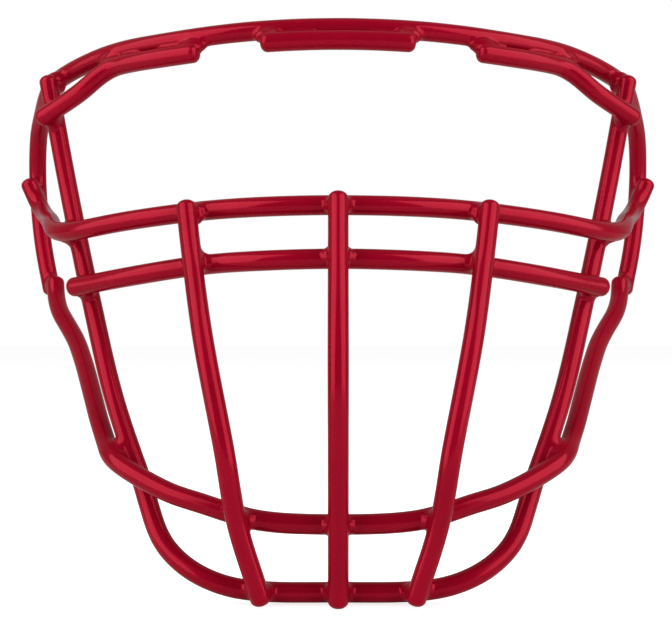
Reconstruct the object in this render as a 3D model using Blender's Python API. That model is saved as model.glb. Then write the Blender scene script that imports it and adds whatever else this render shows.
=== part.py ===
"""Face guard of a batting helmet: eleven coated steel rods, welded where they cross.

Frame: +X to the wearer's left, the front at -Y, +Z up, in metres.
Origin: the middle of the brow arch, on the rod's centreline, in the plane of symmetry.
Every rod follows a smooth curve through a few route points. A rod that crosses another
takes its route point from the other rod, one rod and a small gap further out.
"""
import math

import bmesh
import bpy
from mathutils import Vector

# Rods
WIRE_DIAMETER = 0.0057
COAT_THICKNESS = 0.0005
ROD_DIAMETER = WIRE_DIAMETER + 2 * COAT_THICKNESS
ROD_RADIUS = ROD_DIAMETER / 2
END_ROUNDING = 0.0027          # how far a rod's rounded end stands past its last route point
CLEARANCE = 0.0003             # free gap between any two pieces
ROD_PITCH = ROD_DIAMETER + CLEARANCE    # between the centrelines of two rods that touch

# Overall sizes of the guard, between centrelines
BROW_HALF_WIDTH = 0.1172       # widest part of the brow arch
GUARD_HEIGHT = 0.1855          # from the brow arch down to the chin
GUARD_DEPTH = 0.0825           # from the middle of the brow back to the ear part of the arch

# Crossbars at the plane of symmetry: drop is below the brow, reach is in front of it
UPPER_BAR_DROP = 0.0610
UPPER_BAR_REACH = 0.0170
LOWER_BAR_DROP = 0.0788
LOWER_BAR_REACH = 0.0250
JAW_BAR_DROP = 0.1633
JAW_BAR_REACH = 0.0310
CHIN_REACH = 0.0270

# Crossbars at the jaw loop: how far lower or higher each one meets it than at the middle
UPPER_BAR_DIP = 0.0071
LOWER_BAR_DIP = 0.0092
JAW_BAR_CLIMB = 0.0182
JAW_BAR_CORNER_CLIMB = 0.0225  # where it has turned back along the loop's outer side

# Uprights: places along the bars, and how far the middle stands in front of the brow
UPRIGHT_REACH = 0.0420
UPRIGHT_SETBACK = 0.0017       # from the middle of its weld on the upper bar to its end
SIDE_UPRIGHT_ON_UPPER_BAR = 0.0478
SIDE_UPRIGHT_ON_LOWER_BAR = 0.0450
SIDE_UPRIGHT_ON_JAW_BAR = 0.0302
SIDE_UPRIGHT_ON_CHIN = 0.0246

# Short rods that lie along the brow arch
BROW_ROD_HALF_LENGTH = 0.0235
BROW_ROD_GAP = 0.0253          # from the end of the centre rod to a side rod
SIDE_ROD_PART_INSET = 0.0402   # from the arch's widest part in to where a side rod leaves it
CENTRE_ROD_TILT = math.radians(45)  # below the horizontal, seen from the arch
SIDE_ROD_TILT = math.radians(56)

# Where the bars, the loop and the side rods end
TEMPLE_DROP = 0.0108           # the jaw loop meets the arch this far below the brow
TEMPLE_SETBACK = 0.0023        # from the middle of that weld to the loop's end
UPPER_BAR_END_CLIMB = 0.0085   # the upper bar crosses the arch this far above its middle
UPPER_BAR_OVERHANG = 0.0052    # its end past the arch
UPPER_BAR_STANDOFF = 0.0004    # its extra room in front of the arch, which it crosses askew
UPPER_BAR_LEAN = 0.33          # how far outwards that end leans from the arch's own direction

JAW_BAR_LAP = Vector((-0.44, -0.90, 0.0))   # the side of the arch that its end lies on
JAW_BAR_CORNER = Vector((0.95, -0.25, -0.20))   # the side of the loop that it turns round
SIDE_ROD_END_DROP = 0.0265     # a side rod crosses the jaw loop this far below the brow

# Weld beads
END_BEAD_SHIFT = 0.0013        # how far a bead at a rod's end moves back along that rod
BEAD_REACH = 1.04              # half-width of a bead, in half-diagonals of the crossing
BEAD_LONGEST = 0.0100          # half-length of a bead along two rods that run nearly together
BEAD_HALF_HEIGHT = 0.0027
FORK_OPENING = 0.0012          # gap between two parting rods at the middle of their weld
LAP_BEAD_HALF_WIDTH = 0.0034
LAP_BEAD_HALF_LENGTH = 0.0055

# Fineness of the curves and the solids
SEAT_PASSES = 3
TUBE_SIDES = 12
BEAD_SEGMENTS = 12
BEAD_RINGS = 6
SAMPLES_PER_SPAN = 40
LONGEST_STEP = 0.010
SHARPEST_STEP = math.radians(9)
DOME_ANGLES = (math.radians(32), math.radians(62))

FORWARD = Vector((0.0, -1.0, 0.0))
CRIMSON = (0.43, 0.006, 0.030, 1.0)
BEAD_CRIMSON = (0.40, 0.005, 0.027, 1.0)
ROD_ROUGHNESS = 0.18
BEAD_ROUGHNESS = 0.22
GLOSS_COAT = 0.6


def clear_scene():
    for old in list(bpy.data.objects):
        bpy.data.objects.remove(old, do_unlink=True)


def coat_material(name, colour, roughness):
    """Glossy thick coat over steel wire."""
    material = bpy.data.materials.new(name)
    material.use_nodes = True
    shader = material.node_tree.nodes["Principled BSDF"]
    shader.inputs["Base Color"].default_value = colour
    shader.inputs["Roughness"].default_value = roughness
    shader.inputs["Metallic"].default_value = 0.0
    shader.inputs["Coat Weight"].default_value = GLOSS_COAT
    return material


# ---------------------------------------------------------------- curves

def mirrored(point):
    return Vector((-point.x, point.y, point.z))


def symmetric_route(half_route):
    """A whole route, left to right, from the half that runs from the middle to +X."""
    left_half = [mirrored(point) for point in reversed(half_route[1:])]
    return left_half + half_route


def smooth_curve(route):
    """Closely spaced points of a centripetal Catmull-Rom curve through the route points."""
    first = route[0] * 2 - route[1]
    last = route[-1] * 2 - route[-2]
    knots = [first] + list(route) + [last]
    curve = [route[0].copy()]
    for index in range(1, len(knots) - 2):
        p0, p1, p2, p3 = knots[index - 1:index + 3]
        t1 = math.sqrt((p1 - p0).length)
        t2 = t1 + math.sqrt((p2 - p1).length)
        t3 = t2 + math.sqrt((p3 - p2).length)
        for sample in range(1, SAMPLES_PER_SPAN + 1):
            t = t1 + (t2 - t1) * sample / SAMPLES_PER_SPAN
            a1 = p0.lerp(p1, t / t1)
            a2 = p1.lerp(p2, (t - t1) / (t2 - t1))
            a3 = p2.lerp(p3, (t - t2) / (t3 - t2))
            b1 = a1.lerp(a2, t / t2)
            b2 = a2.lerp(a3, (t - t1) / (t3 - t1))
            curve.append(b1.lerp(b2, (t - t1) / (t2 - t1)))
    return curve


def tangent(curve, index):
    before = curve[max(index - 1, 0)]
    after = curve[min(index + 1, len(curve) - 1)]
    return (after - before).normalized()


def index_at_height(curve, height):
    """Where a curve's half on the +X side passes a height, as an index."""
    places = [i for i, point in enumerate(curve) if point.x > 0]
    return min(places, key=lambda i: abs(curve[i].z - height))


def index_at_width(curve, width):
    return min(range(len(curve)), key=lambda i: abs(curve[i].x - width))


def seat_on(curve, index, direction):
    """The centreline of a rod that crosses in front of this curve, running in a direction."""
    outward = tangent(curve, index).cross(direction).normalized()
    if outward.dot(FORWARD) < 0:
        outward.negate()
    return curve[index] + outward * ROD_PITCH


def beside(curve, index, direction):
    """The centreline of a rod that lies along this curve, on the side that a direction names."""
    along = tangent(curve, index)
    outward = (direction - along * direction.dot(along)).normalized()
    return curve[index] + outward * ROD_PITCH


def closest_places(curve_a, curve_b, side):
    """Indices of the two points where curves on one side of the guard come closest."""
    best = None
    for i, point_a in enumerate(curve_a):
        if point_a.x * side < 0:
            continue
        for j, point_b in enumerate(curve_b):
            gap = (point_a - point_b).length_squared
            if best is None or gap < best[0]:
                best = (gap, i, j)
    return best[1], best[2]


# ---------------------------------------------------------------- routes
#
# Each function below gives one half of a symmetric rod, from the middle to +X, or a whole
# rod that isn't symmetric. A rod that sits on others also takes runs, the directions in
# which it crosses them, and gives the numbers of the route points where it does.

def settled_route(half_route, runs, *bases):
    """The route whose crossings are worked out with the directions that it really has."""
    for _ in range(SEAT_PASSES):
        route, seats = half_route(runs, *bases)
        curve = smooth_curve(route)
        runs = [tangent(curve, seat * SAMPLES_PER_SPAN) for seat in seats]
    return route


def brow_arch_half():
    """Across the brow, round the temple and down past the ear."""
    ear = BROW_HALF_WIDTH
    back = GUARD_DEPTH
    return [
        Vector((0.0, 0.0, 0.0)),
        Vector((ear - 0.0882, 0.0010, -0.0010)),
        Vector((ear - 0.0612, 0.0085, -0.0030)),
        Vector((ear - 0.0360, back - 0.0585, -0.0052)),
        Vector((ear - 0.0147, back - 0.0415, -0.0122)),
        Vector((ear - 0.0092, back - 0.0295, -0.0165)),
        Vector((ear - 0.0052, back - 0.0165, -0.0205)),
        Vector((ear - 0.0014, back - 0.0055, -0.0285)),
        Vector((ear, back, -0.0420)),
        Vector((ear - 0.0006, back - 0.0005, -0.0530)),
        Vector((ear - 0.0028, back - 0.0030, -0.0700)),
        Vector((ear - 0.0066, back - 0.0070, -0.0865)),
    ]


def jaw_loop_half(runs, arch):
    """From the chin round the jaw and up to the temple."""
    ear = BROW_HALF_WIDTH
    half = [
        Vector((0.0, -CHIN_REACH, -GUARD_HEIGHT)),
        Vector((ear - 0.0797, -CHIN_REACH, -GUARD_HEIGHT + 0.0025)),
        Vector((ear - 0.0617, -CHIN_REACH + 0.0070, -GUARD_HEIGHT + 0.0130)),
        Vector((ear - 0.0520, -CHIN_REACH + 0.0170, -GUARD_HEIGHT + 0.0345)),
        Vector((ear - 0.0419, -CHIN_REACH + 0.0255, -GUARD_HEIGHT + 0.0605)),
        Vector((ear - 0.0319, -CHIN_REACH + 0.0410, -0.0925)),
        Vector((ear - 0.0207, -CHIN_REACH + 0.0570, -0.0500)),
        seat_on(arch, index_at_height(arch, -TEMPLE_DROP), runs[0]),
    ]
    return half, [7]


def upper_crossbar_half(runs, arch, loop):
    """Below the eyes' line of sight, over the jaw loop, then up in front of the arch."""
    ear = BROW_HALF_WIDTH
    drop = -UPPER_BAR_DROP
    on_loop = seat_on(loop, index_at_height(loop, drop - UPPER_BAR_DIP), runs[0])
    crossing = index_at_height(arch, drop + UPPER_BAR_END_CLIMB)
    on_arch = beside(arch, crossing, FORWARD) + FORWARD * UPPER_BAR_STANDOFF
    rise = Vector((UPPER_BAR_LEAN, 0.0, 0.0)) - tangent(arch, crossing)
    half = [
        Vector((0.0, -UPPER_BAR_REACH, drop)),
        Vector((ear - 0.0910, -UPPER_BAR_REACH + 0.0025, drop - 0.0004)),
        Vector((ear - 0.0707, -UPPER_BAR_REACH + 0.0105, drop - 0.0013)),
        on_loop + Vector((-0.0250, -0.0170, 0.0030)),
        on_loop,
        on_loop + Vector((0.0066, 0.0195, 0.0050)),
        on_arch + Vector((-0.0076, -0.0150, -0.0088)),
        on_arch + Vector((-0.0026, -0.0018, -0.0045)),
        on_arch,
        on_arch + rise.normalized() * UPPER_BAR_OVERHANG,
    ]
    return half, [4]


def lower_crossbar_half(runs, loop):
    """The second bar below the eyes, ending on the jaw loop."""
    ear = BROW_HALF_WIDTH
    drop = -LOWER_BAR_DROP
    on_loop = seat_on(loop, index_at_height(loop, drop - LOWER_BAR_DIP), runs[0])
    half = [
        Vector((0.0, -LOWER_BAR_REACH, drop)),
        Vector((ear - 0.0912, -LOWER_BAR_REACH + 0.0028, drop - 0.0006)),
        Vector((ear - 0.0732, -LOWER_BAR_REACH + 0.0110, drop - 0.0016)),
        on_loop + Vector((-0.0260, -0.0170, 0.0040)),
        on_loop,
    ]
    return half, [4]


def jaw_bar_half(runs, arch, loop):
    """Across the mouth, over the jaw loop, then up the outside to the arch's lower end."""
    ear = BROW_HALF_WIDTH
    drop = -JAW_BAR_DROP
    on_loop = seat_on(loop, index_at_height(loop, drop + JAW_BAR_CLIMB), runs[0])
    turning = index_at_height(loop, drop + JAW_BAR_CORNER_CLIMB)
    corner = beside(loop, turning, JAW_BAR_CORNER)
    on_arch = beside(arch, len(arch) - 1, JAW_BAR_LAP)
    half = [
        Vector((0.0, -JAW_BAR_REACH, drop)),
        Vector((ear - 0.0915, -JAW_BAR_REACH - 0.0003, drop + 0.0014)),
        Vector((ear - 0.0762, -JAW_BAR_REACH + 0.0030, drop + 0.0055)),
        Vector((ear - 0.0624, -JAW_BAR_REACH + 0.0075, drop + 0.0094)),
        on_loop,
        corner,
        corner + Vector((0.0020, 0.0060, 0.0030)),
        corner + Vector((0.0046, 0.0121, 0.0076)),
        corner + Vector((0.0091, 0.0246, 0.0164)),
        corner + Vector((0.0158, 0.0432, 0.0295)),
        on_arch + Vector((-0.0114, -0.0234, -0.0210)),
        on_arch + Vector((-0.0034, -0.0100, -0.0110)),
        on_arch + Vector((-0.0008, -0.0030, -0.0053)),
        on_arch + Vector((0.0, 0.0, -0.0006)),
    ]
    return half, [4]


def upright_route(runs, bars, widths, middle):
    """Down the front of the three bars and the chin.

    bars are the upper, lower and jaw bars and the loop; widths are the places on them;
    middle are the free points between the lower bar and the jaw bar.
    """
    places = [index_at_width(bar, width) for bar, width in zip(bars, widths)]
    upper, lower, jaw, chin = [seat_on(*seat) for seat in zip(bars, places, runs)]
    return [upper, lower] + middle + [jaw, chin], [0, 1, 4, 5]


def centre_upright_route(bars):
    middle = [
        Vector((0.0, -UPRIGHT_REACH, -LOWER_BAR_DROP - 0.0260)),
        Vector((0.0, -UPRIGHT_REACH, -JAW_BAR_DROP + 0.0240)),
    ]
    down = [Vector((0.0, 0.0, -1.0))] * len(bars)
    route = settled_route(upright_route, down, bars, (0.0, 0.0, 0.0, 0.0), middle)
    return trimmed(route, UPRIGHT_SETBACK, 0.0)


def side_upright_route(bars):
    widths = (SIDE_UPRIGHT_ON_UPPER_BAR, SIDE_UPRIGHT_ON_LOWER_BAR,
              SIDE_UPRIGHT_ON_JAW_BAR, SIDE_UPRIGHT_ON_CHIN)
    lean = SIDE_UPRIGHT_ON_LOWER_BAR - SIDE_UPRIGHT_ON_JAW_BAR
    middle = [
        Vector((SIDE_UPRIGHT_ON_JAW_BAR + lean * 0.84, -UPRIGHT_REACH + 0.0085,
                -LOWER_BAR_DROP - 0.0260)),
        Vector((SIDE_UPRIGHT_ON_JAW_BAR + lean * 0.36, -UPRIGHT_REACH + 0.0020,
                -JAW_BAR_DROP + 0.0240)),
    ]
    down = [Vector((0.0, 0.0, -1.0))] * len(bars)
    route = settled_route(upright_route, down, bars, widths, middle)
    return trimmed(route, UPRIGHT_SETBACK, 0.0)


def trimmed(route, start, end):
    """A route whose first and last points stop short by two lengths."""
    first = route[0] + (route[1] - route[0]).normalized() * start
    last = route[-1] + (route[-2] - route[-1]).normalized() * end
    return [first] + route[1:-1] + [last]


def below_arch(arch, width, tilt):
    """A place on a rod that lies along the arch, in front of it and below it."""
    index = index_at_width(arch, width)
    along = tangent(arch, index)
    forward = (FORWARD - along * FORWARD.dot(along)).normalized()
    down = along.cross(forward)
    if down.z > 0:
        down.negate()
    return beside(arch, index, forward * math.cos(tilt) + down * math.sin(tilt))


def brow_centre_half(arch):
    widths = [BROW_ROD_HALF_LENGTH * share for share in (0.0, 0.5, 1.0)]
    half = [below_arch(arch, width, CENTRE_ROD_TILT) for width in widths]
    half[0].x = 0.0
    return half


def side_rod_route(runs, arch, loop):
    """Along the arch from beside the brow, then down across the jaw loop's top."""
    start = BROW_ROD_HALF_LENGTH + BROW_ROD_GAP
    stretch = BROW_HALF_WIDTH - SIDE_ROD_PART_INSET - start
    widths = [start + stretch * share for share in (0.0, 0.2, 0.4, 0.6, 0.8, 1.0)]
    along_arch = [below_arch(arch, width, SIDE_ROD_TILT) for width in widths]
    on_loop = seat_on(loop, index_at_height(loop, -SIDE_ROD_END_DROP), runs[0])
    route = along_arch + [
        along_arch[-1] + Vector((0.0045, 0.0004, -0.0026)),
        on_loop + Vector((-0.0140, -0.0066, 0.0078)),
        on_loop,
    ]
    return route, [8]


# ---------------------------------------------------------------- solids

def stations(curve):
    """The few points of a curve that carry a ring: close in bends, further on long runs."""
    chosen = [0]
    for index in range(1, len(curve) - 1):
        step = (curve[index + 1] - curve[chosen[-1]]).length
        turn = tangent(curve, index + 1).angle(tangent(curve, chosen[-1]))
        if step > LONGEST_STEP or turn > SHARPEST_STEP:
            chosen.append(index)
    chosen.append(len(curve) - 1)
    return chosen


def add_ring(mesh, centre, side, up, radius):
    ring = []
    for corner in range(TUBE_SIDES):
        angle = 2 * math.pi * corner / TUBE_SIDES
        offset = side * math.cos(angle) + up * math.sin(angle)
        ring.append(mesh.verts.new(centre + offset * radius))
    return ring


def bridge(mesh, ring_a, ring_b):
    for corner in range(TUBE_SIDES):
        nxt = (corner + 1) % TUBE_SIDES
        mesh.faces.new((ring_a[corner], ring_a[nxt], ring_b[nxt], ring_b[corner]))


def cap(mesh, ring, tip):
    for corner in range(TUBE_SIDES):
        nxt = (corner + 1) % TUBE_SIDES
        mesh.faces.new((ring[corner], ring[nxt], tip))


def tube_mesh(name, curve, radius, rounding):
    """A round rod along a curve, with both ends rounded over."""
    mesh = bmesh.new()
    places = stations(curve)
    heading = tangent(curve, places[0])
    side = heading.orthogonal().normalized()
    rings = []
    for place in places:
        ahead = tangent(curve, place)
        side = (side - ahead * side.dot(ahead)).normalized()
        up = ahead.cross(side)
        if place == places[0]:
            for angle in reversed(DOME_ANGLES):
                centre = curve[place] - ahead * rounding * math.sin(angle)
                rings.append(add_ring(mesh, centre, side, up, radius * math.cos(angle)))
            first_tip = mesh.verts.new(curve[place] - ahead * rounding)
        rings.append(add_ring(mesh, curve[place], side, up, radius))
    for angle in DOME_ANGLES:
        centre = curve[-1] + ahead * rounding * math.sin(angle)
        rings.append(add_ring(mesh, centre, side, up, radius * math.cos(angle)))
    last_tip = mesh.verts.new(curve[-1] + ahead * rounding)
    for ring_a, ring_b in zip(rings, rings[1:]):
        bridge(mesh, ring_a, ring_b)
    cap(mesh, rings[0], first_tip)
    cap(mesh, rings[-1], last_tip)
    bmesh.ops.recalc_face_normals(mesh, faces=mesh.faces)
    data = bpy.data.meshes.new(name)
    mesh.to_mesh(data)
    mesh.free()
    data.shade_smooth()
    return data


def add_object(name, data, material):
    piece = bpy.data.objects.new(name, data)
    piece.data.materials.append(material)
    bpy.context.scene.collection.objects.link(piece)
    return piece


def build_rod(name, curve):
    colour = coat_material(name + "_coat", CRIMSON, ROD_ROUGHNESS)
    return add_object(name, tube_mesh(name, curve, ROD_RADIUS, END_ROUNDING), colour)


def build_cutter(name, curve):
    """The room that a weld bead leaves round a rod."""
    data = tube_mesh(name, curve, ROD_RADIUS + CLEARANCE, END_ROUNDING + CLEARANCE)
    cutter = bpy.data.objects.new(name, data)
    cutter.hide_render = True
    cutter.display_type = "WIRE"
    bpy.context.scene.collection.objects.link(cutter)
    return cutter


def build_bead(name, centre, long_axis, thin_axis, half_sizes, cutters):
    """A lens of weld and coat at a joint, hollowed to fit round both rods."""
    mesh = bmesh.new()
    bmesh.ops.create_uvsphere(mesh, u_segments=BEAD_SEGMENTS, v_segments=BEAD_RINGS, radius=1.0)
    wide_axis = thin_axis.cross(long_axis).normalized()
    long_axis = wide_axis.cross(thin_axis).normalized()
    half_long, half_wide, half_thin = half_sizes
    for vertex in mesh.verts:
        place = vertex.co
        vertex.co = (long_axis * place.x * half_long + wide_axis * place.y * half_wide
                     + thin_axis * place.z * half_thin)
    data = bpy.data.meshes.new(name)
    mesh.to_mesh(data)
    mesh.free()
    data.shade_smooth()
    bead = add_object(name, data, coat_material(name + "_coat", BEAD_CRIMSON, BEAD_ROUGHNESS))
    bead.location = centre
    for cutter in cutters:
        cut = bead.modifiers.new("fit_" + cutter.name, "BOOLEAN")
        cut.operation = "DIFFERENCE"
        cut.solver = "EXACT"
        cut.object = cutter
    return bead


def weld_crossing(name, rods, cutters, rod_a, rod_b, side, shift=0.0):
    """A bead where one rod crosses another; longer where they cross at a shallow angle.

    shift moves it along the second rod, away from that rod's end.
    """
    curve_a, curve_b = rods[rod_a], rods[rod_b]
    place_a, place_b = closest_places(curve_a, curve_b, side)
    run_a = tangent(curve_a, place_a)
    run_b = tangent(curve_b, place_b)
    centre = (curve_a[place_a] + curve_b[place_b]) / 2 + run_b * shift
    if run_a.dot(run_b) < 0:
        run_b.negate()
    half_angle = run_a.angle(run_b) / 2
    thin_axis = (curve_b[place_b] - curve_a[place_a]).normalized()
    half_long = min(BEAD_REACH * ROD_RADIUS / math.sin(half_angle), BEAD_LONGEST)
    half_wide = BEAD_REACH * ROD_RADIUS / math.cos(half_angle)
    sizes = (half_long, half_wide, BEAD_HALF_HEIGHT)
    build_bead(name, centre, run_a + run_b, thin_axis, sizes, (cutters[rod_a], cutters[rod_b]))


def weld_lap(name, rods, cutters, rod_a, rod_b, end):
    """A bead round the end of a rod that lies along another rod."""
    curve_a, curve_b = rods[rod_a], rods[rod_b]
    place_b = 0 if end < 0 else len(curve_b) - 1
    tip = curve_b[place_b]
    place_a = min(range(len(curve_a)), key=lambda i: (curve_a[i] - tip).length_squared)
    thin_axis = (tip - curve_a[place_a]).normalized()
    centre = (curve_a[place_a] + tip) / 2
    sizes = (LAP_BEAD_HALF_LENGTH, LAP_BEAD_HALF_WIDTH, BEAD_HALF_HEIGHT)
    build_bead(name, centre, tangent(curve_b, place_b), thin_axis, sizes,
               (cutters[rod_a], cutters[rod_b]))


def weld_parting(name, rods, cutters, rod_a, rod_b):
    """A bead in the fork where a rod that lay along another leaves it."""
    curve_a, curve_b = rods[rod_a], rods[rod_b]
    for place_b, point in enumerate(curve_b):
        place_a = min(range(len(curve_a)), key=lambda i: (curve_a[i] - point).length_squared)
        if (curve_a[place_a] - point).length > ROD_PITCH + FORK_OPENING:
            break
    thin_axis = (point - curve_a[place_a]).normalized()
    centre = (curve_a[place_a] + point) / 2
    sizes = (LAP_BEAD_HALF_LENGTH, LAP_BEAD_HALF_WIDTH, BEAD_HALF_HEIGHT)
    build_bead(name, centre, tangent(curve_b, place_b), thin_axis, sizes,
               (cutters[rod_a], cutters[rod_b]))


# ---------------------------------------------------------------- the guard

def rod_curves():
    """Every rod's centreline; the base rods come first, and the others sit on them.

    upward and across are first guesses of how rods run where they cross, to settle from.
    """
    arch = smooth_curve(symmetric_route(brow_arch_half()))
    upward = Vector((0.10, 0.15, 0.98))
    across = Vector((0.80, 0.58, -0.08))
    loop_half = settled_route(jaw_loop_half, [upward], arch)
    loop = smooth_curve(symmetric_route(trimmed(loop_half, 0.0, TEMPLE_SETBACK)))
    upper_half = settled_route(upper_crossbar_half, [across], arch, loop)
    upper = smooth_curve(symmetric_route(upper_half))
    lower = smooth_curve(symmetric_route(settled_route(lower_crossbar_half, [across], loop)))
    jaw = smooth_curve(symmetric_route(settled_route(jaw_bar_half, [across], arch, loop)))
    bars = (upper, lower, jaw, loop)
    left_upright = smooth_curve(side_upright_route(bars))
    left_side_rod = smooth_curve(settled_route(side_rod_route, [across], arch, loop))
    return {
        "brow_arch": arch,
        "jaw_loop": loop,
        "upper_crossbar": upper,
        "lower_crossbar": lower,
        "jaw_bar": jaw,
        "centre_upright": smooth_curve(centre_upright_route(bars)),
        "left_upright": left_upright,
        "right_upright": [mirrored(point) for point in left_upright],
        "brow_centre_rod": smooth_curve(symmetric_route(brow_centre_half(arch))),
        "brow_side_rod_left": left_side_rod,
        "brow_side_rod_right": [mirrored(point) for point in left_side_rod],
    }


def build_welds(rods, cutters):
    for upright, side in (("left_upright", 1), ("centre_upright", 0), ("right_upright", -1)):
        for bar, shift in (("upper_crossbar", END_BEAD_SHIFT), ("lower_crossbar", 0.0),
                           ("jaw_bar", 0.0), ("jaw_loop", -END_BEAD_SHIFT)):
            weld_crossing("weld_" + upright + "_" + bar, rods, cutters, bar, upright, side,
                          shift)
    for hand, side in (("left", 1), ("right", -1)):
        inward = -side * END_BEAD_SHIFT
        side_rod = "brow_side_rod_" + hand
        for name, rod_a, rod_b, shift in (
                ("arch_jaw_loop", "brow_arch", "jaw_loop", inward),
                ("arch_upper_crossbar", "brow_arch", "upper_crossbar", 0.0),
                ("jaw_loop_upper_crossbar", "jaw_loop", "upper_crossbar", 0.0),
                ("jaw_loop_lower_crossbar", "jaw_loop", "lower_crossbar", inward),
                ("jaw_loop_jaw_bar", "jaw_loop", "jaw_bar", 0.0),
                ("jaw_loop_side_rod", "jaw_loop", side_rod, -END_BEAD_SHIFT)):
            weld_crossing("weld_" + name + "_" + hand, rods, cutters, rod_a, rod_b, side, shift)
        for name, rod_b, end in (("arch_side_rod", side_rod, -1),
                                 ("arch_centre_rod", "brow_centre_rod", side),
                                 ("arch_jaw_bar", "jaw_bar", side)):
            weld_lap("weld_" + name + "_" + hand, rods, cutters, "brow_arch", rod_b, end)
        weld_parting("weld_arch_side_rod_fork_" + hand, rods, cutters, "brow_arch", side_rod)


def main():
    clear_scene()
    rods = rod_curves()
    cutters = {}
    for name, curve in rods.items():
        build_rod(name, curve)
        cutters[name] = build_cutter("room_" + name, curve)
    build_welds(rods, cutters)


main()
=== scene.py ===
"""The looks of a coated wire face guard: detailed meshes, materials, light and camera.

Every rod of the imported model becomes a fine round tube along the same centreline,
slightly eased. Every weld becomes a fillet that flows from rod to rod, and the coat that
fills the grooves between rods lying side by side is made here too. Lengths are in metres.
"""

import math
import random

import bmesh
import bpy
import numpy as np
from mathutils import Matrix, Vector, noise


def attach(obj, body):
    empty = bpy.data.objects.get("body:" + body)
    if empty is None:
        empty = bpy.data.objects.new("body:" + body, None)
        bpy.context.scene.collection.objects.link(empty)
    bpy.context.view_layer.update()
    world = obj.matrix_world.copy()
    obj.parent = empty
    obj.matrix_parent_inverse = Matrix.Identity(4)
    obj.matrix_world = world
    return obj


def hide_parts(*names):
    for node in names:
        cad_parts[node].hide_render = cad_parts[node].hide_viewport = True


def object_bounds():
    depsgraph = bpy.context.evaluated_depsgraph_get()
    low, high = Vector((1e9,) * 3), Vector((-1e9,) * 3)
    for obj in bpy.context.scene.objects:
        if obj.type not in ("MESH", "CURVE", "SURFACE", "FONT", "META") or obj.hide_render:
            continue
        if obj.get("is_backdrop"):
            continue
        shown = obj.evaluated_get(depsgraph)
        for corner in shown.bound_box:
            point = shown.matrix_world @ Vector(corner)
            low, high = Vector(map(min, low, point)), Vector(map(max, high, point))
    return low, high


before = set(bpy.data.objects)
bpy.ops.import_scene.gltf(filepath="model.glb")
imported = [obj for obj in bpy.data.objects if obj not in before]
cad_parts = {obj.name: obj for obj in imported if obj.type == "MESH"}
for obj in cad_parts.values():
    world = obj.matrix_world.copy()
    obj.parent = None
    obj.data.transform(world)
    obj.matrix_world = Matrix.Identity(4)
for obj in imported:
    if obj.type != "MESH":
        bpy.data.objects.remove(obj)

CAD_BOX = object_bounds()
CENTRE = (CAD_BOX[0] + CAD_BOX[1]) / 2

# Rods
ROD_RADIUS = 0.00330            # wire and coat, 0.05 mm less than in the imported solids
TUBE_SIDES = 48
RING_STEP = 0.00125             # between the rings of a tube
END_RINGS = 9                   # rings in each rounded end
END_ROUNDING = 0.0026           # length of each rounded end
END_SQUARENESS = 2.2            # 2 is a plain round end; more is flatter
END_SWELL = 0.010               # how much thicker a rod is at its ends, as a part of it
END_SWELL_LENGTH = 0.0050
COAT_WAVE = 0.000022            # how far the coat's thickness wanders
COAT_WAVE_SCALE = 110.0         # waves per metre, roughly

# Centrelines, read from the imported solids
MERGE_DISTANCE = 1.0e-6
TIP_EDGES = 12                  # edges that meet at the tip of a packed rod
FULL_RING = 0.99                # smaller rings, as a part of the widest, are in the ends
CURVE_SAMPLES = 48              # points on each stretch between two of the solid's rings
EVEN_STEP = 0.0005              # between the points of an eased line
EASE = 0.0020                   # how far along a rod its bends are eased
WIDE_EASE = {"upper_crossbar": 0.0055}   # takes a slight wave out of its swept-back ends
EASE_SPREADS = 3                # how much of the bell curve an average takes in

# Weld fillets
LINE_STEP = 0.0006              # steps along the lines that the fillets measure from
LINE_REACH = 0.0220             # how much of a rod counts near a weld
TANGENT_STEPS = 2               # steps each way that give a line's direction
ROD_FILLET = 0.0013             # radius between two rods
BEAD_FILLET = 0.0019            # radius between the bead and a rod
BEAD_SIZE = 0.84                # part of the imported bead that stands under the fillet
BEAD_SPREAD = 0.04              # how far that part varies either way
LONGEST_BEAD = 0.0045           # half-length that no bead exceeds
BEAD_RIPPLE = 0.00004           # how uneven a bead's skin is
BEAD_WAVES = (900.0, 1100.0, 1000.0)     # its ripples along X, Y and Z, in radians per metre
TINY = 1.0e-9                   # keeps a division at a bead's middle from failing
PROUD = 0.000016                # how far a fillet covers the rods where it meets them
SINK_SLOPE = 20.0               # past its edge a fillet dips into the rods, by this times
SINK_END = 3.0e13               # the distance squared and this times its sixth power
SINK_REACH = 0.0023             # room for that on the grid
ACROSS_MARGIN = 0.0010          # room past both rods across a weld

# Meshing of the fillets
GRID_STEP = 0.00042
SLOPE_STEP = 0.00004            # half the distance over which the field's slope is taken
PULLS = 3                       # rounds that pull the mesh onto the exact surface
LEAST_SLOPE = 0.2               # squared slope that a pull divides by at least

# Coat in the grooves between rods that lie side by side
GROOVE_GAP = 0.0004             # the widest gap that the coat bridges
WEB_RODS = ("jaw_bar", "jaw_loop")       # where they part, a web of coat reaches further
WEB_GAP = 0.0014
GROOVE_FILLET = 0.0011          # radius of the coat's hollow face
GROOVE_END_SIZE = 0.25          # part of that radius that is left at a groove's ends
GROOVE_GROWTH = 0.0040          # length in which a groove would grow by the whole radius
GROOVE_WAVER = 0.18             # how far the radius wanders, as a part of it
GROOVE_WAVER_SCALE = 150.0      # waves per metre, roughly
GROOVE_STEP = 0.0010            # between the outlines along a groove
GROOVE_FINE_STEP = GROOVE_STEP / 3
GROOVE_ARC_POINTS = 9           # points on each hollow face
GROOVE_SINK = 0.0005            # how far its edges reach into the rods
GROOVE_LEAST_LENGTH = 0.0060

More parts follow.
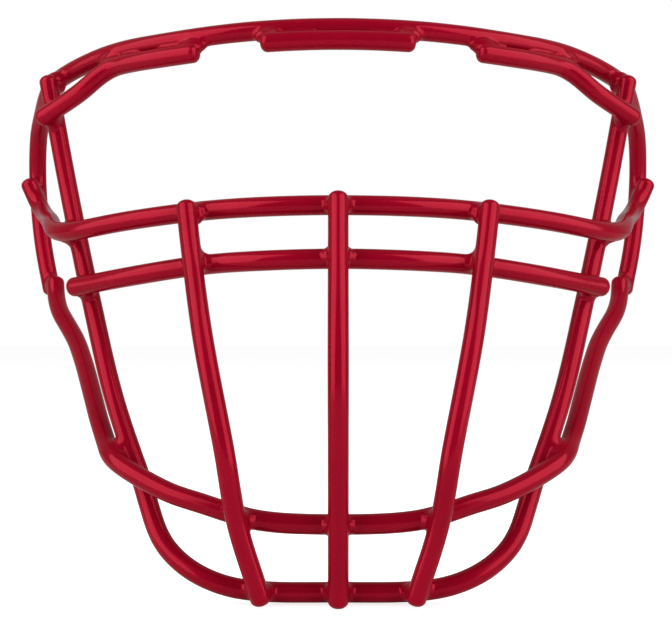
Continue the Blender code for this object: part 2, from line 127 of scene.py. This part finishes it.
# Coat: clouds, specks and the ripple called orange peel
CLOUD_SCALE = 45.0
SPECK_SCALE = 2600.0
PEEL_SCALE = 420.0
CLOUD_COLOURS = ((0.30, (0.305, 0.0011, 0.0140, 1.0)),
                 (0.52, (0.330, 0.0013, 0.0155, 1.0)),
                 (0.72, (0.355, 0.0016, 0.0175, 1.0)))
SPECK_SHADES = ((0.30, (0.90, 0.90, 0.90, 1.0)), (0.75, (1.0, 1.0, 1.0, 1.0)))
COAT_ROUGHNESS = 0.17
SMOOTHER, ROUGHER = 0.03, 0.06  # how far the clouds change it
ROD_PEEL = 0.000016             # height of the peel
WELD_PEEL = 0.000018
SPECK_PEEL = 0.06               # height of the specks, as a part of the peel
COAT_GLOSS = {"IOR": 1.50, "Metallic": 0.25, "Specular IOR Level": 0.10,
              "Specular Tint": (1.0, 0.06, 0.20, 1.0), "Coat Weight": 0.38,
              "Coat Roughness": 0.12, "Coat IOR": 1.26}

# Camera, from the photograph's perspective
CAMERA_PLACE = (-0.0007, -0.5220, -0.0967)
CAMERA_LENS = 82.9
CAMERA_SENSOR = 36.0

# Light
SOFTBOX_LOW = (0.993, -0.620, -0.120)    # ends of the softbox on the +X side, from the
SOFTBOX_HIGH = (0.531, -0.332, 0.995)    # guard's middle
SOFTBOX_WIDTH = 0.92
SOFTBOX_POWER = 10.0
FRONT_GLOW = 0.15               # the room's brightness on the camera's side
BACK_GLOW = 0.35                # and behind the guard
FRONT_GLOW_END = 0.15           # where the front's glow ends, from 0 in front to 1 behind
BACK_GLOW_START = 0.70
PAPER_GLOW = 1.0                # how bright the backdrop looks

# Floor
FLOOR_HALF = 4.0
FLOOR_GLOW = 0.75               # its own glow for the camera, as a part of the backdrop's
FLOOR_PAPER = {"Base Color": (0.80, 0.80, 0.80, 1.0), "Roughness": 0.9,
               "Specular IOR Level": 0.1}


def ring_centres(name):
    """The centreline of a packed rod: both tips and the middle of every full ring."""
    mesh = bmesh.new()
    mesh.from_mesh(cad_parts[name].data)
    bmesh.ops.remove_doubles(mesh, verts=mesh.verts, dist=MERGE_DISTANCE)
    tips = sorted((v for v in mesh.verts if len(v.link_edges) == TIP_EDGES),
                  key=lambda v: (v.co.x, v.co.z))
    level, seen, rings = [tips[0]], {tips[0]}, []
    while level:
        centre = sum((v.co for v in level), Vector()) / len(level)
        rings.append((centre, max((v.co - centre).length for v in level)))
        beyond = []
        for vertex in level:
            for edge in vertex.link_edges:
                other = edge.other_vert(vertex)
                if other not in seen:
                    seen.add(other)
                    beyond.append(other)
        level = beyond
    mesh.free()
    full = max(radius for _, radius in rings)
    kept = [centre for centre, radius in rings[1:-1] if radius > FULL_RING * full]
    return np.array([rings[0][0], *kept, rings[-1][0]])


def smooth_line(stations):
    """A smooth curve through the stations, as closely spaced points."""
    spans = np.diff(stations, axis=0)
    lengths = np.linalg.norm(spans, axis=1)[:, None]
    slopes = spans / lengths
    middle = (lengths[:-1] * slopes[1:] + lengths[1:] * slopes[:-1]) / (
        lengths[:-1] + lengths[1:])
    tangents = np.vstack([slopes[:1], middle, slopes[-1:]])
    t = np.linspace(0.0, 1.0, CURVE_SAMPLES, endpoint=False)[:, None]
    parts = []
    for i, length in enumerate(lengths):
        start, end = stations[i], stations[i + 1]
        parts.append((2 * t**3 - 3 * t**2 + 1) * start + (t**3 - 2 * t**2 + t) * length
                     * tangents[i] + (3 * t**2 - 2 * t**3) * end
                     + (t**3 - t**2) * length * tangents[i + 1])
    return np.vstack(parts + [stations[-1:]])


def eased(line, reach):
    """The line at even steps, with every point averaged with its neighbours."""
    line = spaced(line, 0.0, travelled(line)[-1], EVEN_STEP)
    count = int(EASE_SPREADS * reach / EVEN_STEP)
    weights = np.exp(-0.5 * (np.arange(-count, count + 1) * EVEN_STEP / reach) ** 2)
    weights /= weights.sum()
    before = 2 * line[0] - line[count:0:-1]
    after = 2 * line[-1] - line[-2:-count - 2:-1]
    padded = np.vstack([before, line, after])
    return np.stack([np.convolve(padded[:, k], weights, "valid") for k in range(3)], axis=1)


def travelled(line):
    """How far along the line each of its points is."""
    return np.concatenate([[0.0], np.cumsum(np.linalg.norm(np.diff(line, axis=0), axis=1))])


def points_at(line, distances):
    """Points at the given distances along the line."""
    along = travelled(line)
    return np.stack([np.interp(distances, along, line[:, k]) for k in range(3)], axis=1)


def spaced(line, start, end, step):
    """Points at even steps along a part of the line."""
    count = max(2, int(round((end - start) / step)) + 1)
    return points_at(line, np.linspace(start, end, count))


def add_piece(name, vertices, faces, node, material):
    """A smooth-shaded piece that rides on the guard and, with a node, stands for it."""
    mesh = bpy.data.meshes.new(name)
    mesh.from_pydata([tuple(v) for v in vertices], [], faces)
    mesh.polygons.foreach_set("use_smooth", [True] * len(mesh.polygons))
    mesh.materials.append(material)
    piece = bpy.data.objects.new(name, mesh)
    bpy.context.scene.collection.objects.link(piece)
    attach(piece, "root")
    if node:
        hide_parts(node)
    return piece


def tube_faces(rings, sides):
    """Faces of a tube whose rings come first, then the two tips."""
    faces = []
    for ring in range(rings - 1):
        for side in range(sides):
            after = (side + 1) % sides
            a, b = ring * sides, (ring + 1) * sides
            faces.append((a + side, a + after, b + after, b + side))
    start_tip, end_tip, last = rings * sides, rings * sides + 1, (rings - 1) * sides
    for side in range(sides):
        after = (side + 1) % sides
        faces.append((start_tip, after, side))
        faces.append((end_tip, last + side, last + after))
    return faces


def frames_along(points):
    """Side and up directions at each point that don't twist along the line."""
    tangents = np.gradient(points, axis=0)
    tangents /= np.linalg.norm(tangents, axis=1)[:, None]
    side = Vector(tangents[0]).orthogonal().normalized()
    sides, ups = [], []
    for tangent in tangents:
        ahead = Vector(tangent)
        side = (side - ahead * side.dot(ahead)).normalized()
        sides.append(side)
        ups.append(ahead.cross(side))
    return sides, ups


def coat_wave(point):
    """How much thicker the coat is at this point."""
    return COAT_WAVE * noise.noise(point * COAT_WAVE_SCALE)


def build_rod(name, line, material):
    """A round rod with domed ends, whose coat is never quite even."""
    length = travelled(line)[-1]
    angles = np.linspace(0.0, math.pi / 2, END_RINGS + 1)[1:]
    dome = END_ROUNDING * (1.0 - np.cos(angles))
    middle_count = int((length - 2 * END_ROUNDING) / RING_STEP)
    middle = np.linspace(END_ROUNDING, length - END_ROUNDING, middle_count)[1:-1]
    distances = np.concatenate([dome, middle, (length - dome)[::-1]])
    centres = points_at(line, distances)
    sides, ups = frames_along(centres)
    vertices = []
    for distance, centre, side, up in zip(distances, centres, sides, ups):
        from_end = min(distance, length - distance)
        inward = max(0.0, 1.0 - from_end / END_ROUNDING)
        swell = END_SWELL * math.exp(-(from_end / END_SWELL_LENGTH) ** 2)
        rounded = (1.0 - inward**END_SQUARENESS) ** (1.0 / END_SQUARENESS)
        radius = ROD_RADIUS * rounded * (1.0 + swell)
        for k in range(TUBE_SIDES):
            angle = math.tau * k / TUBE_SIDES
            out = side * math.cos(angle) + up * math.sin(angle)
            place = Vector(centre) + out * radius
            vertices.append(place + out * coat_wave(place))
    vertices += [line[0], line[-1]]
    faces = tube_faces(len(distances), TUBE_SIDES)
    return add_piece(name + "_wire", vertices, faces, name, material)


def distance_to_line(points, line):
    """The distance from each point to a line of short straight steps."""
    best = np.full(len(points), np.inf)
    for start, end in zip(line[:-1], line[1:]):
        step = end - start
        offset = points - start
        t = np.clip(offset @ step / (step @ step), 0.0, 1.0)
        apart = offset - t[:, None] * step
        best = np.minimum(best, np.einsum("ij,ij->i", apart, apart))
    return np.sqrt(best)


def round_union(a, b, radius):
    """Two distance fields joined with a fillet of the given radius."""
    corner = np.hypot(np.maximum(radius - a, 0.0), np.maximum(radius - b, 0.0))
    return np.maximum(radius, np.minimum(a, b)) - corner


class WeldField:
    """The distance to a weld: two rods and a bead between them, filleted together."""

    def __init__(self, name, lines):
        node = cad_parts[name]
        corners = np.array([v.co for v in node.data.vertices])
        middle = (corners.min(axis=0) + corners.max(axis=0)) / 2
        apart = {rod: np.linalg.norm(line - middle, axis=1) for rod, line in lines.items()}
        self.lines, places, tangents = [], [], []
        for rod in sorted(apart, key=lambda rod: apart[rod].min())[:2]:
            line = lines[rod]
            length = travelled(line)[-1]
            core = spaced(line, ROD_RADIUS, length - ROD_RADIUS, LINE_STEP)
            near = np.linalg.norm(core - middle, axis=1) < LINE_REACH
            core = core[near]
            self.lines.append(core)
            at = int(np.argmin(np.linalg.norm(core - middle, axis=1)))
            low, high = max(at - TANGENT_STEPS, 0), min(at + TANGENT_STEPS, len(core) - 1)
            places.append(core[at])
            tangents.append(Vector(core[high] - core[low]).normalized())
        if tangents[0].dot(tangents[1]) < 0.0:
            tangents[1] = -tangents[1]
        across = Vector(places[1] - places[0]).normalized()
        long_way = tangents[0] + tangents[1]
        long_way = (long_way - across * long_way.dot(across)).normalized()
        self.axes = np.array([long_way, across.cross(long_way), across])
        spread = corners @ self.axes.T
        low, high = spread.min(axis=0), spread.max(axis=0)
        self.centre = (low + high) / 2 @ self.axes
        dice = random.Random(name)
        sizes = [BEAD_SIZE * dice.uniform(1 - BEAD_SPREAD, 1 + BEAD_SPREAD) for _ in range(3)]
        self.half = (high - low) / 2 * sizes
        self.half[0] = min(self.half[0], LONGEST_BEAD)
        self.phase = np.array([dice.uniform(0.0, math.tau) for _ in range(3)])

    def bead(self, points):
        """The distance to the bead, a flattened round with a slightly uneven skin."""
        local = (points - self.centre) @ self.axes.T
        near = np.linalg.norm(local / self.half, axis=1) + TINY
        steep = np.linalg.norm(local / self.half**2, axis=1) + TINY
        ripple = np.sin(points * BEAD_WAVES + self.phase).sum(axis=1)
        return near * (near - 1.0) / steep + BEAD_RIPPLE * ripple / len(BEAD_WAVES)

    def __call__(self, points):
        rod_a, rod_b = (distance_to_line(points, line) - ROD_RADIUS for line in self.lines)
        bead = self.bead(points)
        both = round_union(rod_a, rod_b, ROD_FILLET)
        joined = round_union(both, bead, BEAD_FILLET)
        past = np.maximum(rod_a, rod_b) - ROD_FILLET
        past = np.maximum(np.minimum(past, bead - BEAD_FILLET), 0.0)
        return joined - PROUD + SINK_SLOPE * past**2 + SINK_END * past**6


def surface_net(values):
    """Vertices, in grid steps, and quads of the surface where the values change sign."""
    inside = values < 0.0
    shape = np.array(values.shape) - 1
    total, count = np.zeros((*shape, 3)), np.zeros(shape)
    for axis in range(3):
        others = [k for k in range(3) if k != axis]
        for step_a in (0, 1):
            for step_b in (0, 1):
                low = [slice(None)] * 3
                low[others[0]] = slice(step_a, shape[others[0]] + step_a)
                low[others[1]] = slice(step_b, shape[others[1]] + step_b)
                high = list(low)
                low[axis], high[axis] = slice(0, -1), slice(1, None)
                low, high = tuple(low), tuple(high)
                crossed = inside[low] != inside[high]
                where = np.argwhere(crossed)
                first = values[low][crossed]
                part = first / (first - values[high][crossed])
                place = where.astype(float)
                place[:, axis] += part
                place[:, others[0]] += step_a
                place[:, others[1]] += step_b
                total[crossed] += place
                count[crossed] += 1
    used = count > 0
    vertices = total[used] / count[used][:, None]
    number = np.full(shape, -1)
    number[used] = np.arange(len(vertices))
    faces = []
    for axis in range(3):
        b, c = (axis + 1) % 3, (axis + 2) % 3
        low = [slice(1, -1)] * 3
        high = [slice(1, -1)] * 3
        low[axis], high[axis] = slice(0, -1), slice(1, None)
        changed = inside[tuple(low)].astype(int) - inside[tuple(high)]
        for sign in (1, -1):
            where = np.argwhere(changed == sign)
            where[:, b] += 1
            where[:, c] += 1
            ring = []
            for back_b, back_c in ((1, 1), (0, 1), (0, 0), (1, 0))[::sign]:
                cell = where.copy()
                cell[:, b] -= back_b
                cell[:, c] -= back_c
                ring.append(number[tuple(cell.T)])
            faces.append(np.stack(ring, axis=1))
    return vertices, np.vstack(faces)


def build_weld(name, lines, material):
    """A fillet between the two rods that a weld joins."""
    field = WeldField(name, lines)
    reach = field.half + BEAD_FILLET + SINK_REACH
    reach[2] = max(reach[2], 2 * ROD_RADIUS + ACROSS_MARGIN)
    counts = np.ceil(2 * reach / GRID_STEP).astype(int) + 1
    grid = np.stack(np.meshgrid(*(np.arange(n) for n in counts), indexing="ij"), axis=-1)
    local = grid.reshape(-1, 3) * GRID_STEP - reach
    values = field(local @ field.axes + field.centre).reshape(counts)
    steps, faces = surface_net(values)
    points = (steps * GRID_STEP - reach) @ field.axes + field.centre
    for _ in range(PULLS):
        slope = np.stack([(field(points + shift) - field(points - shift)) / (2 * SLOPE_STEP)
                          for shift in np.eye(3) * SLOPE_STEP], axis=1)
        steepness = np.maximum(np.einsum("ij,ij->i", slope, slope), LEAST_SLOPE)
        push = field(points) / steepness
        points -= slope * np.clip(push, -GRID_STEP, GRID_STEP)[:, None]
    return add_piece(name + "_fillet", points, faces.tolist(), name, material)


def groove_ring(place_a, place_b, ahead, fillet):
    """The outline of the coat between two rods, seen along them."""
    apart = place_b - place_a
    apart -= ahead * apart.dot(ahead)
    half = apart.length / 2
    across = apart.normalized()
    out = ahead.cross(across)
    middle = (Vector(place_a) + Vector(place_b)) / 2
    height = math.sqrt(max((ROD_RADIUS + fillet) ** 2 - half**2, 0.0))
    widest = math.atan2(half, height)
    ring = []
    for sign in (1.0, -1.0):
        for k in range(GROOVE_ARC_POINTS):
            angle = widest * (1.0 - 2.0 * k / (GROOVE_ARC_POINTS - 1)) * sign
            inner = middle + out * sign * height
            away = -out * sign * math.cos(angle) - across * math.sin(angle)
            edge = k in (0, GROOVE_ARC_POINTS - 1)
            radius = fillet + GROOVE_SINK if edge else fillet - PROUD
            ring.append(inner + away * radius)
    return ring


def grooves(lines):
    """The stretches where two rods lie close enough for the coat to bridge them."""
    names = sorted(lines)
    for i, rod_a in enumerate(names):
        for rod_b in names[i + 1:]:
            widest = WEB_GAP if (rod_a, rod_b) == WEB_RODS else GROOVE_GAP
            line_a = spaced(lines[rod_a], 0.0, travelled(lines[rod_a])[-1], GROOVE_STEP)
            length_b = travelled(lines[rod_b])[-1]
            fine_b = spaced(lines[rod_b], 0.0, length_b, GROOVE_FINE_STEP)
            run = []
            for place in line_a:
                apart = np.linalg.norm(fine_b - place, axis=1)
                near = int(np.argmin(apart))
                inner = 0 < near < len(fine_b) - 1
                if inner and apart[near] < 2 * ROD_RADIUS + widest:
                    run.append((Vector(place), Vector(fine_b[near])))
                    continue
                if len(run) * GROOVE_STEP > GROOVE_LEAST_LENGTH:
                    yield rod_a, rod_b, run
                run = []
            if len(run) * GROOVE_STEP > GROOVE_LEAST_LENGTH:
                yield rod_a, rod_b, run


def build_groove(name, run, material):
    """Coat that fills both grooves along two rods that lie side by side."""
    vertices = []
    for k, (place_a, place_b) in enumerate(run):
        before, after = run[max(k - 1, 0)], run[min(k + 1, len(run) - 1)]
        ahead = (after[0] - before[0]).normalized()
        from_end = min(k, len(run) - 1 - k) * GROOVE_STEP
        grown = min(1.0, GROOVE_END_SIZE + from_end / GROOVE_GROWTH)
        waver = 1.0 + GROOVE_WAVER * noise.noise(place_a * GROOVE_WAVER_SCALE)
        vertices += groove_ring(place_a, place_b, ahead, GROOVE_FILLET * grown * waver)
    sides = 2 * GROOVE_ARC_POINTS
    vertices += [sum(run[0], Vector()) / 2, sum(run[-1], Vector()) / 2]
    return add_piece(name, vertices, tube_faces(len(run), sides), None,
                     material)


def set_inputs(node, values):
    """Sets a shader node's own sockets."""
    for name, value in values.items():
        node.inputs[name].default_value = value


def shader_node(tree, kind, **values):
    """A new node with the given input values; an underscore stands for a space."""
    node = tree.nodes.new(kind)
    set_inputs(node, {key.replace("_", " "): value for key, value in values.items()})
    return node


def colour_ramp(tree, stops):
    """A ramp from a number to a colour."""
    ramp = tree.nodes.new("ShaderNodeValToRGB")
    elements = ramp.color_ramp.elements
    elements[0].position, elements[0].color = stops[0]
    elements[1].position, elements[1].color = stops[-1]
    for position, colour in stops[1:-1]:
        elements.new(position).color = colour
    return ramp


def coat_material(name, peel):
    """A glossy dipped coat: cloudy crimson, faint orange peel and fine specks."""
    material = bpy.data.materials.new(name)
    material.use_nodes = True
    tree = material.node_tree
    shader = tree.nodes["Principled BSDF"]
    link = tree.links.new
    place = tree.nodes.new("ShaderNodeTexCoord").outputs["Object"]

    clouds = shader_node(tree, "ShaderNodeTexNoise", Scale=CLOUD_SCALE, Detail=4.0,
                         Roughness=0.55)
    specks = shader_node(tree, "ShaderNodeTexNoise", Scale=SPECK_SCALE, Detail=2.0)
    link(place, clouds.inputs["Vector"])
    link(place, specks.inputs["Vector"])
    colours = colour_ramp(tree, CLOUD_COLOURS)
    link(clouds.outputs["Fac"], colours.inputs["Fac"])
    fleck = colour_ramp(tree, SPECK_SHADES)
    link(specks.outputs["Fac"], fleck.inputs["Fac"])
    mixed = tree.nodes.new("ShaderNodeMix")
    mixed.data_type, mixed.blend_type = "RGBA", "MULTIPLY"
    mixed.inputs["Factor"].default_value = 1.0
    link(colours.outputs["Color"], mixed.inputs["A"])
    link(fleck.outputs["Color"], mixed.inputs["B"])
    link(mixed.outputs["Result"], shader.inputs["Base Color"])

    rough = shader_node(tree, "ShaderNodeMapRange", To_Min=COAT_ROUGHNESS - SMOOTHER,
                        To_Max=COAT_ROUGHNESS + ROUGHER)
    link(clouds.outputs["Fac"], rough.inputs["Value"])
    link(rough.outputs["Result"], shader.inputs["Roughness"])

    waves = shader_node(tree, "ShaderNodeTexNoise", Scale=PEEL_SCALE, Detail=3.0,
                        Roughness=0.45)
    link(place, waves.inputs["Vector"])
    skin = shader_node(tree, "ShaderNodeBump", Strength=1.0, Distance=peel)
    link(waves.outputs["Fac"], skin.inputs["Height"])
    dust = shader_node(tree, "ShaderNodeBump", Strength=1.0, Distance=peel * SPECK_PEEL)
    link(specks.outputs["Fac"], dust.inputs["Height"])
    link(skin.outputs["Normal"], dust.inputs["Normal"])
    link(dust.outputs["Normal"], shader.inputs["Normal"])

    set_inputs(shader, COAT_GLOSS)
    return material


def build_floor():
    """A wide floor of white paper under the guard, nearly as bright as the backdrop."""
    mesh = bpy.data.meshes.new("floor")
    half, low = FLOOR_HALF, CAD_BOX[0].z
    mesh.from_pydata([(-half, -half, low), (half, -half, low), (half, half, low),
                      (-half, half, low)], [], [(0, 1, 2, 3)])
    material = bpy.data.materials.new("floor_paper")
    material.use_nodes = True
    tree = material.node_tree
    link = tree.links.new
    paper = tree.nodes["Principled BSDF"]
    set_inputs(paper, FLOOR_PAPER)
    lit = shader_node(tree, "ShaderNodeEmission", Strength=PAPER_GLOW * FLOOR_GLOW)
    both = tree.nodes.new("ShaderNodeAddShader")
    link(paper.outputs["BSDF"], both.inputs[0])
    link(lit.outputs["Emission"], both.inputs[1])
    path = tree.nodes.new("ShaderNodeLightPath")
    choose = tree.nodes.new("ShaderNodeMixShader")
    link(path.outputs["Is Camera Ray"], choose.inputs["Fac"])
    link(paper.outputs["BSDF"], choose.inputs[1])
    link(both.outputs["Shader"], choose.inputs[2])
    link(choose.outputs["Shader"], tree.nodes["Material Output"].inputs["Surface"])
    mesh.materials.append(material)
    floor = bpy.data.objects.new("floor", mesh)
    bpy.context.scene.collection.objects.link(floor)
    floor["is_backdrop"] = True


def add_softbox(name, low, high, width, power):
    """A long studio light between two places, turned to face the guard."""
    light = bpy.data.lights.new(name, "AREA")
    light.shape = "RECTANGLE"
    low, high = Vector(low), Vector(high)
    light.size, light.size_y, light.energy = width, (high - low).length, power
    lamp = bpy.data.objects.new(name, light)
    away = ((low + high) / 2 - CENTRE).normalized()
    along = (high - low).normalized()
    across = along.cross(away).normalized()
    turn = Matrix((across, away.cross(across), away)).transposed().to_4x4()
    lamp.matrix_world = Matrix.Translation((low + high) / 2) @ turn
    bpy.context.scene.collection.objects.link(lamp)


def build_world():
    """A white backdrop for the camera, in a room whose soft glow is stronger behind."""
    world = bpy.data.worlds.new("studio")
    world.use_nodes = True
    tree = world.node_tree
    link = tree.links.new
    room = tree.nodes["Background"]
    direction = tree.nodes.new("ShaderNodeTexCoord")
    split = tree.nodes.new("ShaderNodeSeparateXYZ")
    link(direction.outputs["Generated"], split.inputs["Vector"])
    shade = colour_ramp(tree, [(FRONT_GLOW_END, (FRONT_GLOW, FRONT_GLOW, FRONT_GLOW, 1.0)),
                               (BACK_GLOW_START, (BACK_GLOW, BACK_GLOW, BACK_GLOW, 1.0))])
    depth = shader_node(tree, "ShaderNodeMapRange", From_Min=-1.0, From_Max=1.0)
    link(split.outputs["Y"], depth.inputs["Value"])
    link(depth.outputs["Result"], shade.inputs["Fac"])
    link(shade.outputs["Color"], room.inputs["Color"])
    seen = shader_node(tree, "ShaderNodeBackground", Color=(1.0, 1.0, 1.0, 1.0),
                       Strength=PAPER_GLOW)
    path = tree.nodes.new("ShaderNodeLightPath")
    choose = tree.nodes.new("ShaderNodeMixShader")
    link(path.outputs["Is Camera Ray"], choose.inputs["Fac"])
    link(room.outputs["Background"], choose.inputs[1])
    link(seen.outputs["Background"], choose.inputs[2])
    link(choose.outputs["Shader"], tree.nodes["World Output"].inputs["Surface"])
    bpy.context.scene.world = world


def build_camera():
    """A level camera straight in front of the guard."""
    data = bpy.data.cameras.new("camera")
    data.lens, data.sensor_width = CAMERA_LENS, CAMERA_SENSOR
    camera = bpy.data.objects.new("camera", data)
    camera.location = CAMERA_PLACE
    camera.rotation_euler = (math.pi / 2, 0.0, 0.0)
    bpy.context.scene.collection.objects.link(camera)
    bpy.context.scene.camera = camera


def build_studio():
    """Floor, lights, world and camera."""
    build_floor()
    for name, side in (("softbox_left", 1.0), ("softbox_right", -1.0)):
        low = CENTRE + Vector((side * SOFTBOX_LOW[0], SOFTBOX_LOW[1], SOFTBOX_LOW[2]))
        high = CENTRE + Vector((side * SOFTBOX_HIGH[0], SOFTBOX_HIGH[1], SOFTBOX_HIGH[2]))
        add_softbox(name, low, high, SOFTBOX_WIDTH, SOFTBOX_POWER)
    build_world()
    build_camera()
    bpy.context.scene.view_settings.view_transform = "Standard"


def build_guard():
    """Every rod, every weld and the coat in the grooves."""
    rod_coat = coat_material("crimson_dip_coat", ROD_PEEL)
    weld_coat = coat_material("crimson_weld_coat", WELD_PEEL)
    lines = {name: eased(smooth_line(ring_centres(name)), WIDE_EASE.get(name, EASE))
             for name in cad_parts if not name.startswith("weld_")}
    for name, line in lines.items():
        build_rod(name, line, rod_coat)
    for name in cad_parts:
        if name.startswith("weld_"):
            build_weld(name, lines, weld_coat)
    for number, (rod_a, rod_b, run) in enumerate(grooves(lines), 1):
        build_groove(f"coat_bridge_{number}", run, rod_coat)


def write_sizes():
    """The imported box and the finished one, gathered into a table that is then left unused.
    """
    boxes = {"cad": CAD_BOX, "visual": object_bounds()}
    {key: [list(corner) for corner in box] for key, box in boxes.items()}


build_guard()
build_studio()
write_sizes()
